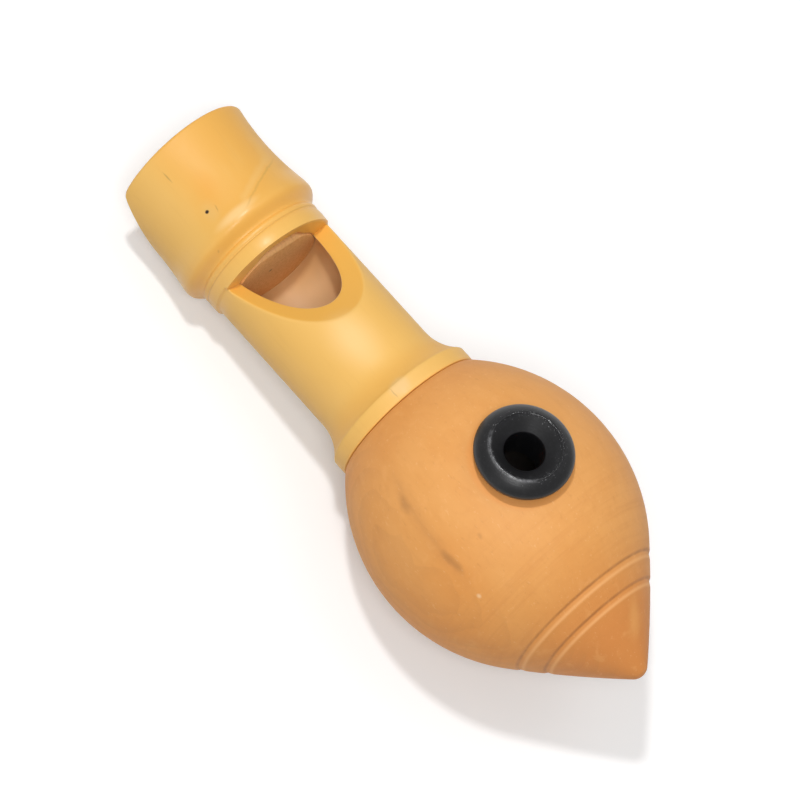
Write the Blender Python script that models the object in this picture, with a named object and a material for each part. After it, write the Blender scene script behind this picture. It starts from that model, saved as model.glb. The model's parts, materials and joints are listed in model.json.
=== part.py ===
"""Cuckoo whistle: a turned pipe with its fipple block, a hollow bulb and a bush in the finger hole.

Each piece is modelled along the whistle's axis. x runs from the mouth end to the tip, and z points
to the window and the finger hole. The parent empty lays the whistle on the ground, where it rests
on its bulb and on the ridge of its mouthpiece. All sizes are in metres.
"""

import math

import bmesh
import bpy
from mathutils import Vector

# Gap between pieces that touch, and facets of a full turn
FIT = 0.0003
STEPS = 48

# Bore and mouthpiece of the pipe
BORE_R = 0.00665
MOUTH_EDGE = 0.0008
WAIST_AT = 0.0070
WAIST_R = 0.01012
RIDGE_AT = 0.0146
RIDGE_R = 0.01075
BEAK_LIP = 0.0032
BEAK_ANGLE = math.radians(43.5)

# Cove, bead and band behind the ridge
COVE_LENGTH = 0.0020
COVE_R = 0.00932
BEAD_WIDTH = 0.0008
BEAD_HEIGHT = 0.00018
LINE_DEPTH = 0.00012
BAND_WIDTH = 0.0021

# Barrel, flare, collar and spigot
BARREL_R = 0.00902
BARREL_LENGTH = 0.0204
FLARE_LENGTH = 0.0047
FLARE_R = 0.01088
COLLAR_WIDTH = 0.0023
COLLAR_R = 0.0111
SPIGOT_WALL = 0.0019
SPIGOT_LENGTH = 0.0070

# Window, whose ramp is an arc that is scooped across by a rounder one
WINDOW_LENGTH = 0.0135
WINDOW_FLOOR = 0.0017
RAMP_R = 0.0450
RAMP_SCOOP = 0.0220

# Windway, cut into the wall over the flat of the block
WINDWAY_WIDTH = 0.0066
WINDWAY_RISE = 0.0011
BLOCK_FLAT = 0.0004

# Bulb
BULB_R = 0.0180
BULB_FACE_R = 0.01125
BULB_FRONT = 0.0169
BULB_WALL = 0.0050
TAIL_ANGLE = math.radians(39.5)
TAIL_ARC_R = 0.150
NOSE_R = 0.0018
GROOVES = (0.0013, 0.0040)
GROOVE_HALF = 0.0004
GROOVE_DEPTH = 0.0003

# Bush, set back a little from the bulb's widest point
HOLE_R = 0.00265
BUSH_WALL = 0.0014
FLANGE_R = 0.0065
FLANGE_BASE_R = 0.0050
FLANGE_HEIGHT = 0.0037
RIM_R = 0.00465
DISH_DEPTH = 0.0016
SEAT_DEPTH = 0.0011
SEAT_MARGIN = 0.0008
BUSH_BACK = 0.00025

# Stations along the axis
COVE_AT = RIDGE_AT + COVE_LENGTH
BEAD_AT = COVE_AT + 0.0002
LINE_AT = BEAD_AT + BEAD_WIDTH
BARREL_AT = LINE_AT + BAND_WIDTH
FLARE_AT = BARREL_AT + BARREL_LENGTH
COLLAR_AT = FLARE_AT + FLARE_LENGTH
FACE_AT = COLLAR_AT + COLLAR_WIDTH
SPIGOT_END = FACE_AT + SPIGOT_LENGTH
WINDOW_AT = BARREL_AT + 0.0002
BULB_FACE_AT = FACE_AT + FIT
BULB_AT = BULB_FACE_AT + BULB_FRONT
BUSH_AT = BULB_AT - BUSH_BACK

# Sizes that follow from the others
SPIGOT_R = BORE_R + SPIGOT_WALL
SOCKET_R = SPIGOT_R + FIT
BLOCK_R = BORE_R - FIT
BLOCK_TOP = BLOCK_R - BLOCK_FLAT
WINDWAY_R = BORE_R + WINDWAY_RISE
BULB_RISE = BULB_R - BULB_FACE_R
BULB_ARC_R = (BULB_FRONT**2 + BULB_RISE**2) / (2 * BULB_RISE)
BULB_ARC_DROP = BULB_ARC_R - BULB_R
TAIL_AT = BULB_AT + BULB_ARC_R * math.sin(TAIL_ANGLE)
TAIL_R = BULB_ARC_R * math.cos(TAIL_ANGLE) - BULB_ARC_DROP
BUSH_SPIGOT_R = HOLE_R + BUSH_WALL
SEAT_Z = BULB_R - SEAT_DEPTH
FLANGE_Z = SEAT_Z + FIT
BUSH_END_Z = BULB_R - BULB_WALL + FIT

for old in list(bpy.data.objects):
    bpy.data.objects.remove(old, do_unlink=True)

whistle = bpy.data.objects.new("whistle", None)
bpy.context.collection.objects.link(whistle)


def material(name, colour, roughness, metallic=0.0):
    made = bpy.data.materials.new(name)
    made.use_nodes = True
    shader = made.node_tree.nodes["Principled BSDF"]
    shader.inputs["Base Color"].default_value = (*colour, 1.0)
    shader.inputs["Roughness"].default_value = roughness
    shader.inputs["Metallic"].default_value = metallic
    made.diffuse_color = (*colour, 1.0)
    return made


def add(name, bm, look=None, at=(0.0, 0.0, 0.0)):
    """Makes a piece of the whistle, or a cutter where it gets no material."""
    bmesh.ops.recalc_face_normals(bm, faces=bm.faces)
    mesh = bpy.data.meshes.new(name)
    bm.to_mesh(mesh)
    bm.free()
    obj = bpy.data.objects.new(name, mesh)
    bpy.context.collection.objects.link(obj)
    obj.parent = whistle
    obj.location = at
    if look is None:
        obj.hide_render = True
        obj.display_type = "WIRE"
    else:
        mesh.materials.append(look)
        mesh.shade_smooth()
        mesh.set_sharp_from_angle(angle=math.radians(35))
    return obj


def turned(profile, upright=False):
    """Turns (station, radius) points about x, or about z where upright.

    Ends at radius 0 close on the axis. Any other profile is a ring, and its last point joins its first.
    A facet, not an edge, faces the ground.
    """
    bm = bmesh.new()
    rings = []
    for station, radius in profile:
        angles = [0.0] if radius == 0 else [(k + 0.5) * math.tau / STEPS for k in range(STEPS)]
        ring = []
        for angle in angles:
            across, along = radius * math.sin(angle), radius * math.cos(angle)
            ring.append(bm.verts.new((along, across, station) if upright else (station, across, along)))
        rings.append(ring)
    pairs = list(zip(rings, rings[1:]))
    if profile[0][1] > 0:
        pairs.append((rings[-1], rings[0]))
    for low, high in pairs:
        for k in range(STEPS):
            corners = [low[k % len(low)], low[(k + 1) % len(low)], high[(k + 1) % len(high)], high[k % len(high)]]
            bm.faces.new(dict.fromkeys(corners))
    return bm


def prism(outline, across, sections):
    """Extrudes an outline through sections: (x, z) points along y, or (y, z) points along x.

    A section is the station along that axis and the height by which the outline is raised there.
    """
    bm = bmesh.new()
    rings = []
    for at, rise in sections:
        points = [(u, at, v + rise) if across == "y" else (at, u, v + rise) for u, v in outline]
        rings.append([bm.verts.new(point) for point in points])
    bm.faces.new(rings[0])
    bm.faces.new(rings[-1])
    for ring, after in zip(rings, rings[1:]):
        for k in range(len(outline)):
            n = (k + 1) % len(outline)
            bm.faces.new((ring[k], ring[n], after[n], after[k]))
    return bm


def cut(obj, cutter):
    boolean = obj.modifiers.new(cutter.name, "BOOLEAN")
    boolean.operation = "DIFFERENCE"
    boolean.solver = "EXACT"
    boolean.object = cutter


def arc(centre, radius, start, end, count):
    """Points (station, radius) on an arc, with angles measured from the radial direction towards the tip."""
    angles = [start + (end - start) * k / count for k in range(count + 1)]
    return [(centre[0] + radius * math.sin(a), centre[1] + radius * math.cos(a)) for a in angles]


def mouthpiece_r(x):
    return WAIST_R + (RIDGE_R - WAIST_R) * ((x - WAIST_AT) / (RIDGE_AT - WAIST_AT)) ** 2


def tail_r(x):
    lean = math.sin(TAIL_ANGLE) + (x - TAIL_AT) / TAIL_ARC_R
    return TAIL_R + TAIL_ARC_R * (math.sqrt(1 - lean**2) - math.cos(TAIL_ANGLE))


def pipe_profile():
    edge_r = mouthpiece_r(MOUTH_EDGE) - MOUTH_EDGE
    points = [(0.0, BORE_R)]
    points += arc((MOUTH_EDGE, edge_r), MOUTH_EDGE, -math.pi / 2, 0.0, 4)
    for k in range(1, 7):
        x = MOUTH_EDGE + (RIDGE_AT - MOUTH_EDGE) * k / 6
        points.append((x, mouthpiece_r(x)))
    for k in range(1, 7):
        drop = (1 - math.cos(math.pi * k / 6)) / 2
        points.append((RIDGE_AT + COVE_LENGTH * k / 6, RIDGE_R + (COVE_R - RIDGE_R) * drop))
    for k in range(5):
        rise = math.sin(math.pi * k / 4)
        points.append((BEAD_AT + BEAD_WIDTH * k / 4, COVE_R + BEAD_HEIGHT * rise - LINE_DEPTH * (k == 4)))
    points += [(LINE_AT + 0.0001, COVE_R + BEAD_HEIGHT / 2), (BARREL_AT - 0.0002, COVE_R + BEAD_HEIGHT / 2)]
    flare_arc_r = (FLARE_LENGTH**2 + (FLARE_R - BARREL_R) ** 2) / (2 * (FLARE_R - BARREL_R))
    flare_end = math.asin(FLARE_LENGTH / flare_arc_r)
    points += [(BARREL_AT + BARREL_LENGTH * k / 6, BARREL_R) for k in range(6)]
    points += arc((FLARE_AT, BARREL_R + flare_arc_r), flare_arc_r, math.pi, math.pi - flare_end, 6)
    points.append((COLLAR_AT + 0.0003, COLLAR_R))
    points.append((FACE_AT - 0.0002, COLLAR_R))
    points.append((FACE_AT, COLLAR_R - 0.0002))
    points += [(FACE_AT, SPIGOT_R), (SPIGOT_END - 0.0004, SPIGOT_R), (SPIGOT_END, SPIGOT_R - 0.0004)]
    points += [(SPIGOT_END, BORE_R), (FLARE_AT, BORE_R), (WINDOW_AT + WINDOW_LENGTH / 2, BORE_R)]
    points.append((RIDGE_AT, BORE_R))
    return points


def bulb_profile():
    chamber_r = BULB_ARC_R - BULB_WALL
    chamber_end = math.acos(BULB_ARC_DROP / chamber_r)
    socket_end = SPIGOT_END + FIT
    chamber_start = math.asin((socket_end - BULB_AT) / chamber_r)
    centre = (BULB_AT, -BULB_ARC_DROP)
    points = arc(centre, chamber_r, chamber_end, chamber_start, 12)
    points[0] = (points[0][0], 0.0)
    points += [(socket_end, SOCKET_R), (BULB_FACE_AT, SOCKET_R)]
    points += arc(centre, BULB_ARC_R, -math.asin(BULB_FRONT / BULB_ARC_R), TAIL_ANGLE, 18)
    for groove in GROOVES:
        for step in (-1, 0, 1):
            x = TAIL_AT + groove + step * GROOVE_HALF
            points.append((x, tail_r(x) - GROOVE_DEPTH * (step == 0)))
    nose_angle = math.acos((TAIL_ARC_R * math.cos(TAIL_ANGLE) - TAIL_R) / (TAIL_ARC_R - NOSE_R))
    nose_at = TAIL_AT + TAIL_ARC_R * (math.sin(nose_angle) - math.sin(TAIL_ANGLE))
    tail_end = points[-1][0]
    points += [(x, tail_r(x)) for x in (tail_end + (nose_at - tail_end) * k / 4 for k in range(1, 4))]
    points += arc((nose_at - NOSE_R * math.sin(nose_angle), 0.0), NOSE_R, nose_angle, math.pi / 2, 4)
    points[-1] = (points[-1][0], 0.0)
    return points


def bush_profile():
    """(height above the axis, radius) of the bush, from its hole round its flange to its spigot."""
    widest = FLANGE_Z + FLANGE_HEIGHT * 0.52
    top = FLANGE_Z + FLANGE_HEIGHT
    points = [(BUSH_END_Z, HOLE_R), (top - DISH_DEPTH, HOLE_R), (top - 0.0001, RIM_R - 0.0003)]
    for k in range(7):
        turn = math.pi / 2 * k / 6
        points.append((widest + (top - widest) * math.cos(turn), RIM_R + (FLANGE_R - RIM_R) * math.sin(turn)))
    for k in range(1, 5):
        turn = math.pi / 2 * k / 4
        rim = FLANGE_BASE_R + (FLANGE_R - FLANGE_BASE_R) * math.cos(turn) ** 2
        points.append((widest - (widest - FLANGE_Z) * math.sin(turn), rim))
    points += [(FLANGE_Z, BUSH_SPIGOT_R), (BUSH_END_Z, BUSH_SPIGOT_R)]
    return points


def window_outline():
    """The cut's straight face and its ramp, which runs on past the barrel's surface."""
    chord = Vector((WINDOW_LENGTH, BARREL_R - WINDOW_FLOOR))
    start = Vector((WINDOW_AT, WINDOW_FLOOR))
    up = Vector((-chord.y, chord.x)).normalized()
    centre = start + chord / 2 + up * math.sqrt(RAMP_R**2 - chord.length_squared / 4)
    half = math.asin(chord.length / 2 / RAMP_R)
    points = [(WINDOW_AT, 1.5 * BARREL_R)]
    for k in range(11):
        turn = math.atan2(-up.y, -up.x) - half + 2.2 * half * k / 10
        points.append((centre.x + RAMP_R * math.cos(turn), centre.y + RAMP_R * math.sin(turn)))
    points.append((points[-1][0], 1.5 * BARREL_R))
    return points


def scoop_sections(count):
    """Stations across the window, and how far the scoop has risen there."""
    widest = math.asin(min(1.0, 1.3 * BARREL_R / RAMP_SCOOP))
    turns = [widest * (2 * k / count - 1) for k in range(count + 1)]
    return [(RAMP_SCOOP * math.sin(a), RAMP_SCOOP * (1 - math.cos(a))) for a in turns]


def windway_outline():
    """A slot from inside the bore up to a round roof."""
    half = math.asin(WINDWAY_WIDTH / 2 / WINDWAY_R)
    roof = [half * (1 - k / 4) for k in range(9)]
    points = [(WINDWAY_R * math.sin(a), WINDWAY_R * math.cos(a)) for a in roof]
    return [(points[0][0], BORE_R / 2), *points, (points[-1][0], BORE_R / 2)]


boxwood = material("boxwood", (0.78, 0.50, 0.17), 0.38)
block_wood = material("block_wood", (0.52, 0.30, 0.11), 0.55)
fruitwood = material("fruitwood", (0.66, 0.32, 0.09), 0.40)
black_plastic = material("black_plastic", (0.012, 0.012, 0.014), 0.22)

# Pipe and block, both cut to the beak under the mouthpiece
pipe = add("whistle_pipe", turned(pipe_profile()), boxwood)
flat_at = math.acos(BLOCK_TOP / BLOCK_R)
block_turns = [flat_at + (math.tau - 2 * flat_at) * k / STEPS for k in range(STEPS + 1)]
block_outline = [(BLOCK_R * math.sin(a), BLOCK_R * math.cos(a)) for a in block_turns]
block = add("fipple_block", prism(block_outline, "x", [(0.0, 0.0), (WINDOW_AT, 0.0)]), block_wood)

past = RIDGE_R / 2
slope = math.tan(BEAK_ANGLE)
beak_low = -RIDGE_R - past
beak_outline = [(-past, BEAK_LIP + past * slope), (-past, beak_low), ((BEAK_LIP - beak_low) / slope, beak_low)]
beak_cutter = add("beak_cutter", prism(beak_outline, "y", [(-2 * RIDGE_R, 0.0), (2 * RIDGE_R, 0.0)]))
window_cutter = add("window_cutter", prism(window_outline(), "y", scoop_sections(12)))
windway_end = WINDOW_AT + WINDOW_LENGTH / 8
windway_cutter = add("windway_cutter", prism(windway_outline(), "x", [(-past, 0.0), (windway_end, 0.0)]))
cut(pipe, beak_cutter)
cut(pipe, window_cutter)
cut(pipe, windway_cutter)
cut(block, beak_cutter)

# Bulb, with a flat seat and a hole for the bush
bulb = add("resonator_bulb", turned(bulb_profile()), fruitwood)
hole_r = BUSH_SPIGOT_R + FIT
seat_r = FLANGE_BASE_R + SEAT_MARGIN + FIT
seat = [(0.0, 0.0), (0.0, hole_r), (SEAT_Z, hole_r), (SEAT_Z, seat_r), (1.2 * BULB_R, seat_r), (1.2 * BULB_R, 0.0)]
seat_cutter = add("seat_cutter", turned(seat, upright=True), at=(BUSH_AT, 0.0, 0.0))
cut(bulb, seat_cutter)
bush = add("finger_hole_bush", turned(bush_profile(), upright=True), black_plastic, (BUSH_AT, 0.0, 0.0))

# The whistle leans until the ridge and the bulb both touch the ground
run, rise = BULB_AT - RIDGE_AT, BULB_ARC_DROP + RIDGE_R
lean = math.asin(BULB_ARC_R / math.hypot(run, rise)) - math.atan2(rise, run)
whistle.rotation_euler = (0.0, -lean, 0.0)

# The middle of its footprint is the origin
bpy.context.view_layer.update()
graph = bpy.context.evaluated_depsgraph_get()
corners = []
for piece in (pipe, block, bulb, bush):
    evaluated = piece.evaluated_get(graph)
    corners += [evaluated.matrix_world @ v.co for v in evaluated.data.vertices]
low = Vector([min(c[i] for c in corners) for i in range(3)])
high = Vector([max(c[i] for c in corners) for i in range(3)])
whistle.location = (-(low.x + high.x) / 2, -(low.y + high.y) / 2, -low.z)
bpy.context.view_layer.update()
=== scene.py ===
"""Cuckoo whistle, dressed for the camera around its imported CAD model.

Each CAD node is replaced by a finer mesh of nearly the same sizes, with rounded edges. The pieces are
made in the whistle's own axes: x from the mouth end to the tip, z to the window and the finger hole.
All sizes are in metres unless a name or comment says millimetres.
"""

import json
import math

import bmesh
import bpy
import numpy as np
from mathutils import Matrix, Vector


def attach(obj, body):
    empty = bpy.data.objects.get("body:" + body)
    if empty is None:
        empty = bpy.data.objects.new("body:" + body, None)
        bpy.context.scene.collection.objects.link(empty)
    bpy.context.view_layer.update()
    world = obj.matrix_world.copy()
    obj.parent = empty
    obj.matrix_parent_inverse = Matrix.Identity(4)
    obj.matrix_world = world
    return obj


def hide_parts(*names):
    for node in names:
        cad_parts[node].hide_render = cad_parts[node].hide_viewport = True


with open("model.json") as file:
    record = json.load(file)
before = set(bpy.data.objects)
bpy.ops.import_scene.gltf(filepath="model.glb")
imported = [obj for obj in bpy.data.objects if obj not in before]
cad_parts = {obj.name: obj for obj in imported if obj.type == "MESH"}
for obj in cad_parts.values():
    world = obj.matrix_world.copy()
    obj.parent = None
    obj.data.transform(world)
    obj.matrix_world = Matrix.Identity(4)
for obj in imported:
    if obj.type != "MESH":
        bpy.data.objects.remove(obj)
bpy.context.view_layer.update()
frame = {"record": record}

# Millimetres in a metre
MM = 1000

# Bore and mouthpiece of the pipe
BORE_R = 0.00665
BORE_EDGE = 0.00025
MOUTH_EDGE = 0.0005
MOUTH_FLARE = 1.25
WAIST_AT = 0.0070
WAIST_R = 0.01012
RIDGE_AT = 0.01440
RIDGE_R = 0.01075
RIDGE_ROUND = 0.12
RIDGE_POWER = 18.7
BEAK_LIP = 0.0032
BEAK_SLOPE = math.tan(math.radians(43.5))
BEAK_BLEND = 0.0005

# The mouth end, the band and the cut by the window lean a little out of square
END_AT = 0.00040
MOUTH_LEAN = -0.020
MOUTH_LEAN_END = 0.0100
CUT_LEAN = 0.032
LEAN_RISES = (0.0150, 0.0185)
LEAN_FALLS = (0.0240, 0.0400)

# Cove, bead and band behind the ridge
COVE_AT = 0.01670
COVE_R = 0.00932
COVE_POWER = 1.5
BEAD_AT = 0.0168
BEAD_WIDTH = 0.00080
BEAD_HEIGHT = 0.00014
BEAD_POWER = 0.8
BEAD_FOOT = (0.00005, 0.00003)
BAND_AT = 0.0179
BAND_END = 0.01950
BAND_R = 0.00940
BAND_CROWN = 0.00004

# The line turned before the band and the step behind it, as (distance, height)
BAND_LINE = ((0.00006, 0.00003), (0.00014, 0.00008), (0.00021, 0.00011), (0.00026, 0.00010))
BAND_STEP = ((0.0, 0.0), (0.00006, 0.00004), (0.00012, 0.00013), (0.00019, 0.00025), (0.00026, 0.00033))

# Barrel, flare, collar and spigot
BARREL_AT = 0.01980
BARREL_R = 0.00902
FLARE_AT = 0.0401
FLARE_R = 0.01088
COLLAR_AT = 0.0448
COLLAR_R = 0.0111
COLLAR_FLAT = (0.0455, 0.0465)
COLLAR_EDGE = 0.00021
FACE_AT = 0.0471
SPIGOT_R = 0.00855
SPIGOT_END = 0.0541
SPIGOT_EDGE = 0.0004

# Rounded edges of the collar and the spigot, as distances from the end and from the cylinder
COLLAR_FRONT = ((0.00006, 0.00014), (0.00014, 0.00007), (0.00025, 0.00002), (0.00040, 0.0))
COLLAR_BACK = ((0.00028, 0.000005), (0.00014, 0.00003), (0.00006, 0.00008), (0.00002, 0.00014))
SPIGOT_OUTER = ((0.0002, 0.00008), (0.0, 0.0004))
SPIGOT_INNER = ((0.0, 0.0006), (0.0, 0.0002), (0.00015, 0.00005))

# Window, whose ramp is an arc along the pipe and a tighter one across it
WINDOW_AT = 0.0199
WINDOW_LENGTH = 0.0135
WINDOW_FLOOR = 0.0017
RAMP_R = 0.0450
RAMP_SCOOP = 0.0220
RAMP_TILT = 0.025
RAMP_EDGE = 0.00030
CUT_EDGE = 0.00008
INNER_EDGE = 0.00015
CORNER_FADE = 0.0012

# Windway, cut into the wall over the flat of the block
WINDWAY_HALF = 0.0033
WINDWAY_R = 0.00775
WINDWAY_ROUND = 0.16
BLOCK_R = 0.00661
BLOCK_TOP = 0.00595
BLOCK_EDGE = 0.00012
BLOCK_EDGE_ANGLE = math.radians(20)
BLOCK_CHAMFER = 0.0004
BLOCK_END = WINDOW_AT + 0.0002

# Bulb
BULB_FACE_AT = 0.04718
BULB_AT = 0.0643
BULB_R = 0.0180
BULB_ARC_R = 0.024531
BULB_ARC_DROP = BULB_ARC_R - BULB_R
BULB_WALL = 0.0050
BULB_EDGE = 0.00032
SOCKET_R = 0.00885
SOCKET_END = 0.0544
SOCKET_EDGE = 0.0003
LEDGE_R = 0.0101
TAIL_ANGLE = math.radians(39.5)
TAIL_AT = BULB_AT + BULB_ARC_R * math.sin(TAIL_ANGLE)
TAIL_R = BULB_ARC_R * math.cos(TAIL_ANGLE) - BULB_ARC_DROP
TAIL_ARC_R = 0.150
TAIL_START = 0.0003
NOSE_R = 0.0018
GROOVES = (0.00125, 0.00395)
GROOVE_STEEP = 0.00030
GROOVE_CHAMFER = 0.00075
GROOVE_DEPTH = 0.00022
GROOVE_POWER = 1.15

# The bulb's front face, from the socket's mouth to its outer edge, as (distance behind it, radius)
BULB_FACE = (
    (0.0001, 0.00895),
    (0.0, 0.0091),
    (0.0, 0.0098),
    (0.0, 0.0104),
    (0.00002, 0.01094),
    (0.00008, 0.01107),
    (0.00018, 0.01119),
)

# Bush in the finger hole
BUSH_AT = 0.06405
HOLE_R = 0.00265
HOLE_EDGE = 0.0002
HOLE_EDGE_MIDDLE = (0.00006, 0.00003)
HOLE_FLARE = 0.0001
BUSH_SPIGOT_R = 0.00405
FLANGE_Z = 0.0172
FLANGE_TOP = 0.0209
FLANGE_R = 0.0065
FLANGE_BASE_R = 0.0050
FLANGE_WIDEST_Z = FLANGE_Z + 0.52 * (FLANGE_TOP - FLANGE_Z)
RIM_R = 0.00465
RIM_EDGE = 0.00010
RIM_SLOPE = 0.47
DISH_DEPTH = 0.0016
BUSH_END_Z = 0.0133
SEAT_Z = 0.0169
SEAT_R = 0.0053
SEAT_HOLE_R = 0.00435
SEAT_CUT_Z = 1.2 * BULB_R

# Height of the mount on the mouth end over the whistle's axis
MOUNT_Z = 0.0087

# Camera, in the whistle's axes, with its lens and sensor in millimetres
CAMERA_AT = Vector((0.160180, -0.206379, 0.463536))
CAMERA_RIGHT = Vector((0.653819, 0.738118, 0.166439))
CAMERA_UP = Vector((-0.723259, 0.545033, 0.424071))
CAMERA_LENS = 180.0
CAMERA_SENSOR = 36.0
CAMERA_CLIP = 0.01

# Softboxes: their direction to the right, up and towards the camera, their side and their power in watts
LIGHT_AIM = Vector((0.0, 0.0, 0.015))
LIGHT_REACH = 0.60
WORLD_LIGHT = 0.40
LAMPS = (
    ("key", 0.00, 0.47, 0.88, 0.04, 1.30),
    ("front", 0.05, -0.05, 1.00, 0.16, 1.00),
    ("fill", 0.50, 0.45, 0.74, 0.28, 0.25),
    ("side", -0.55, -0.40, 0.73, 0.28, 0.10),
)

# Floor
FLOOR_HALF = 3.0
FLOOR_Z = -0.0001
FLOOR_PAPER = (0.90, 0.90, 0.90)
FLOOR_BOUNCE = (0.45, 0.45, 0.45)
FLOOR_LIFT = 0.17


def whistle_axes():
    """The whistle's own axes in the model's frame, from the mount on its mouth end."""
    mount = frame["record"]["mounts"][0]
    along = -Vector(mount["axis"])
    across = Vector((0.0, 1.0, 0.0))
    up = along.cross(across)
    start = Vector(mount["pos_m"]) - up * MOUNT_Z
    return Matrix.Translation(start) @ Matrix((along, across, up)).transposed().to_4x4()


AXES = whistle_axes()


# Mesh helpers

SHARP_ANGLE = math.radians(40.0)
WELD = 2e-6
TINY = 1e-7

# Length of the handles with which a cubic curve follows a quarter of a circle
QUARTER_HANDLE = 0.5523


def place(x, r, angle):
    """Points at stations x, radii r and angles from z, as an array with a last axis of 3."""
    x, r, angle = np.broadcast_arrays(x, r, angle)
    return np.stack([x, r * np.sin(angle), r * np.cos(angle)], axis=-1)


def about_z(z, r, angle):
    """Points turned about the bush's own axis."""
    z, r, angle = np.broadcast_arrays(z, r, angle)
    return np.stack([BUSH_AT + r * np.cos(angle), r * np.sin(angle), z], axis=-1)


def blend(a, b, t):
    return a + (b - a) * t


def smooth(t):
    t = np.clip(t, 0.0, 1.0)
    return t * t * (3 - 2 * t)


def rounded(start, corner, end, count):
    """Inner points of a curve that leaves start and reaches end along the lines to corner."""
    first = start + (corner - start) * QUARTER_HANDLE
    last = end + (corner - end) * QUARTER_HANDLE
    made = []
    for k in range(1, count):
        t = k / count
        leaving = start * (1 - t) ** 3 + 3 * first * (1 - t) ** 2 * t
        made.append(leaving + 3 * last * (1 - t) * t**2 + end * t**3)
    return made


def turns(count):
    return np.arange(count) * math.tau / count


def arc(centre, radius, start, end, count):
    """(station, radius) points of an arc, with angles from the radial direction towards the tip."""
    angles = np.linspace(start, end, count + 1)
    return [(centre[0] + radius * math.sin(a), centre[1] + radius * math.cos(a)) for a in angles]


class Sheets:
    """Grids of points that are joined into one closed mesh where their edges meet."""

    def __init__(self):
        self.points = []
        self.faces = []
        self.count = 0

    def add(self, rows, wrap=True):
        rows = np.array(rows)
        high, wide = rows.shape[:2]
        index = self.count + np.arange(high * wide).reshape(high, wide)
        beside = np.roll(index, -1, axis=1)
        quads = np.stack([index[:-1], beside[:-1], beside[1:], index[1:]], axis=-1)
        if not wrap:
            quads = quads[:, :-1]
        self.points += rows.reshape(-1, 3).tolist()
        self.faces += quads.reshape(-1, 4).tolist()
        self.count += high * wide

    def piece(self, name):
        raw = bpy.data.meshes.new(name)
        raw.from_pydata(self.points, [], self.faces)
        bm = bmesh.new()
        bm.from_mesh(raw)
        bmesh.ops.remove_doubles(bm, verts=bm.verts, dist=WELD)
        bmesh.ops.dissolve_degenerate(bm, edges=bm.edges, dist=TINY)
        bmesh.ops.recalc_face_normals(bm, faces=bm.faces)
        bm.to_mesh(raw)
        bm.free()
        return settle(name, raw)


def settle(name, mesh):
    """Moves a mesh from the whistle's axes to the model's frame and puts it in the scene."""
    shade_mesh(mesh)
    mesh.transform(AXES)
    obj = bpy.data.objects.new(name, mesh)
    bpy.context.scene.collection.objects.link(obj)
    return obj


def shade_mesh(mesh):
    mesh.shade_smooth()
    mesh.set_sharp_from_angle(angle=SHARP_ANGLE)


# Pipe

WINDOW_COLUMNS = 46
PIPE_COLUMNS = 172
WALL_ROWS = 8
EDGE_ROWS = 4
RAMP_SAMPLES = 8000
START_ROUNDS = 60


def mouthpiece_r(x):
    """The hollow outside of the mouthpiece, which is rounded over at the ridge."""
    t = (x - WAIST_AT) / (RIDGE_AT - WAIST_AT)
    to_ridge = (1 + RIDGE_ROUND) * t**2 - RIDGE_ROUND * np.abs(t) ** RIDGE_POWER
    return WAIST_R + (RIDGE_R - WAIST_R) * np.where(t < 0, MOUTH_FLARE * t**2, to_ridge)


def lean(points):
    """Shifts points of the pipe or its block along the whistle, by how far they lie across it."""
    points = np.array(points)
    x = points[..., 0]
    rise = smooth((x - LEAN_RISES[0]) / (LEAN_RISES[1] - LEAN_RISES[0]))
    fall = smooth((x - LEAN_FALLS[0]) / (LEAN_FALLS[1] - LEAN_FALLS[0]))
    mouth = 1 - smooth(x / MOUTH_LEAN_END)
    points[..., 0] = x + (MOUTH_LEAN * mouth + CUT_LEAN * rise * (1 - fall)) * points[..., 1]
    return points


def ramp_centre():
    chord = Vector((WINDOW_LENGTH, BARREL_R - WINDOW_FLOOR))
    up = Vector((-chord.y, chord.x)).normalized()
    height = math.sqrt(RAMP_R**2 - chord.length_squared / 4)
    return Vector((WINDOW_AT, WINDOW_FLOOR)) + chord / 2 + up * height


RAMP_CENTRE = ramp_centre()


def ramp_z(x):
    return RAMP_CENTRE.y - np.sqrt(RAMP_R**2 - (x - RAMP_CENTRE.x) ** 2)


def ramp_x(z):
    return RAMP_CENTRE.x + np.sqrt(RAMP_R**2 - (RAMP_CENTRE.y - z) ** 2)


def scoop(y):
    """How far the ramp has risen across the window, where it is also a little tilted."""
    return RAMP_SCOOP - np.sqrt(RAMP_SCOOP**2 - y**2) + RAMP_TILT * y


def ramp_edge(radius):
    """Stations, angles and distances to a corner, where the ramp leaves a cylinder, in even steps."""
    corners = []
    for side in (-1, 1):
        angle = np.linspace(side * math.pi / 2, 0.0, RAMP_SAMPLES)
        height = radius * np.cos(angle) - scoop(radius * np.sin(angle))
        corners.append(np.interp(WINDOW_FLOOR, height, angle))
    angle = np.linspace(*corners, RAMP_SAMPLES)
    x = ramp_x(radius * np.cos(angle) - scoop(radius * np.sin(angle)))
    run = np.concatenate([[0.0], np.cumsum(np.hypot(np.diff(x), radius * np.diff(angle)))])
    even = np.linspace(0.0, run[-1], 2 * WINDOW_COLUMNS + 1)
    return np.interp(even, run, x), np.interp(even, run, angle), np.minimum(even, run[-1] - even)


def around(window, outside_from, outside_to):
    """Adds the columns beyond the window to a row of window values."""
    beyond = np.linspace(outside_from, outside_to, PIPE_COLUMNS - len(window) + 2)[1:-1]
    return np.concatenate([window, beyond])


def windway_r(angle):
    """The radius of the bore in the head, with the windway's slot on top."""
    off_top = np.abs((angle + math.pi) % math.tau - math.pi)
    side_low = math.asin(WINDWAY_HALF / BORE_R) + WINDWAY_ROUND
    side_high = math.asin(WINDWAY_HALF / WINDWAY_R) - WINDWAY_ROUND
    return blend(BORE_R, WINDWAY_R, smooth((side_low - off_top) / (side_low - side_high)))


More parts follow.
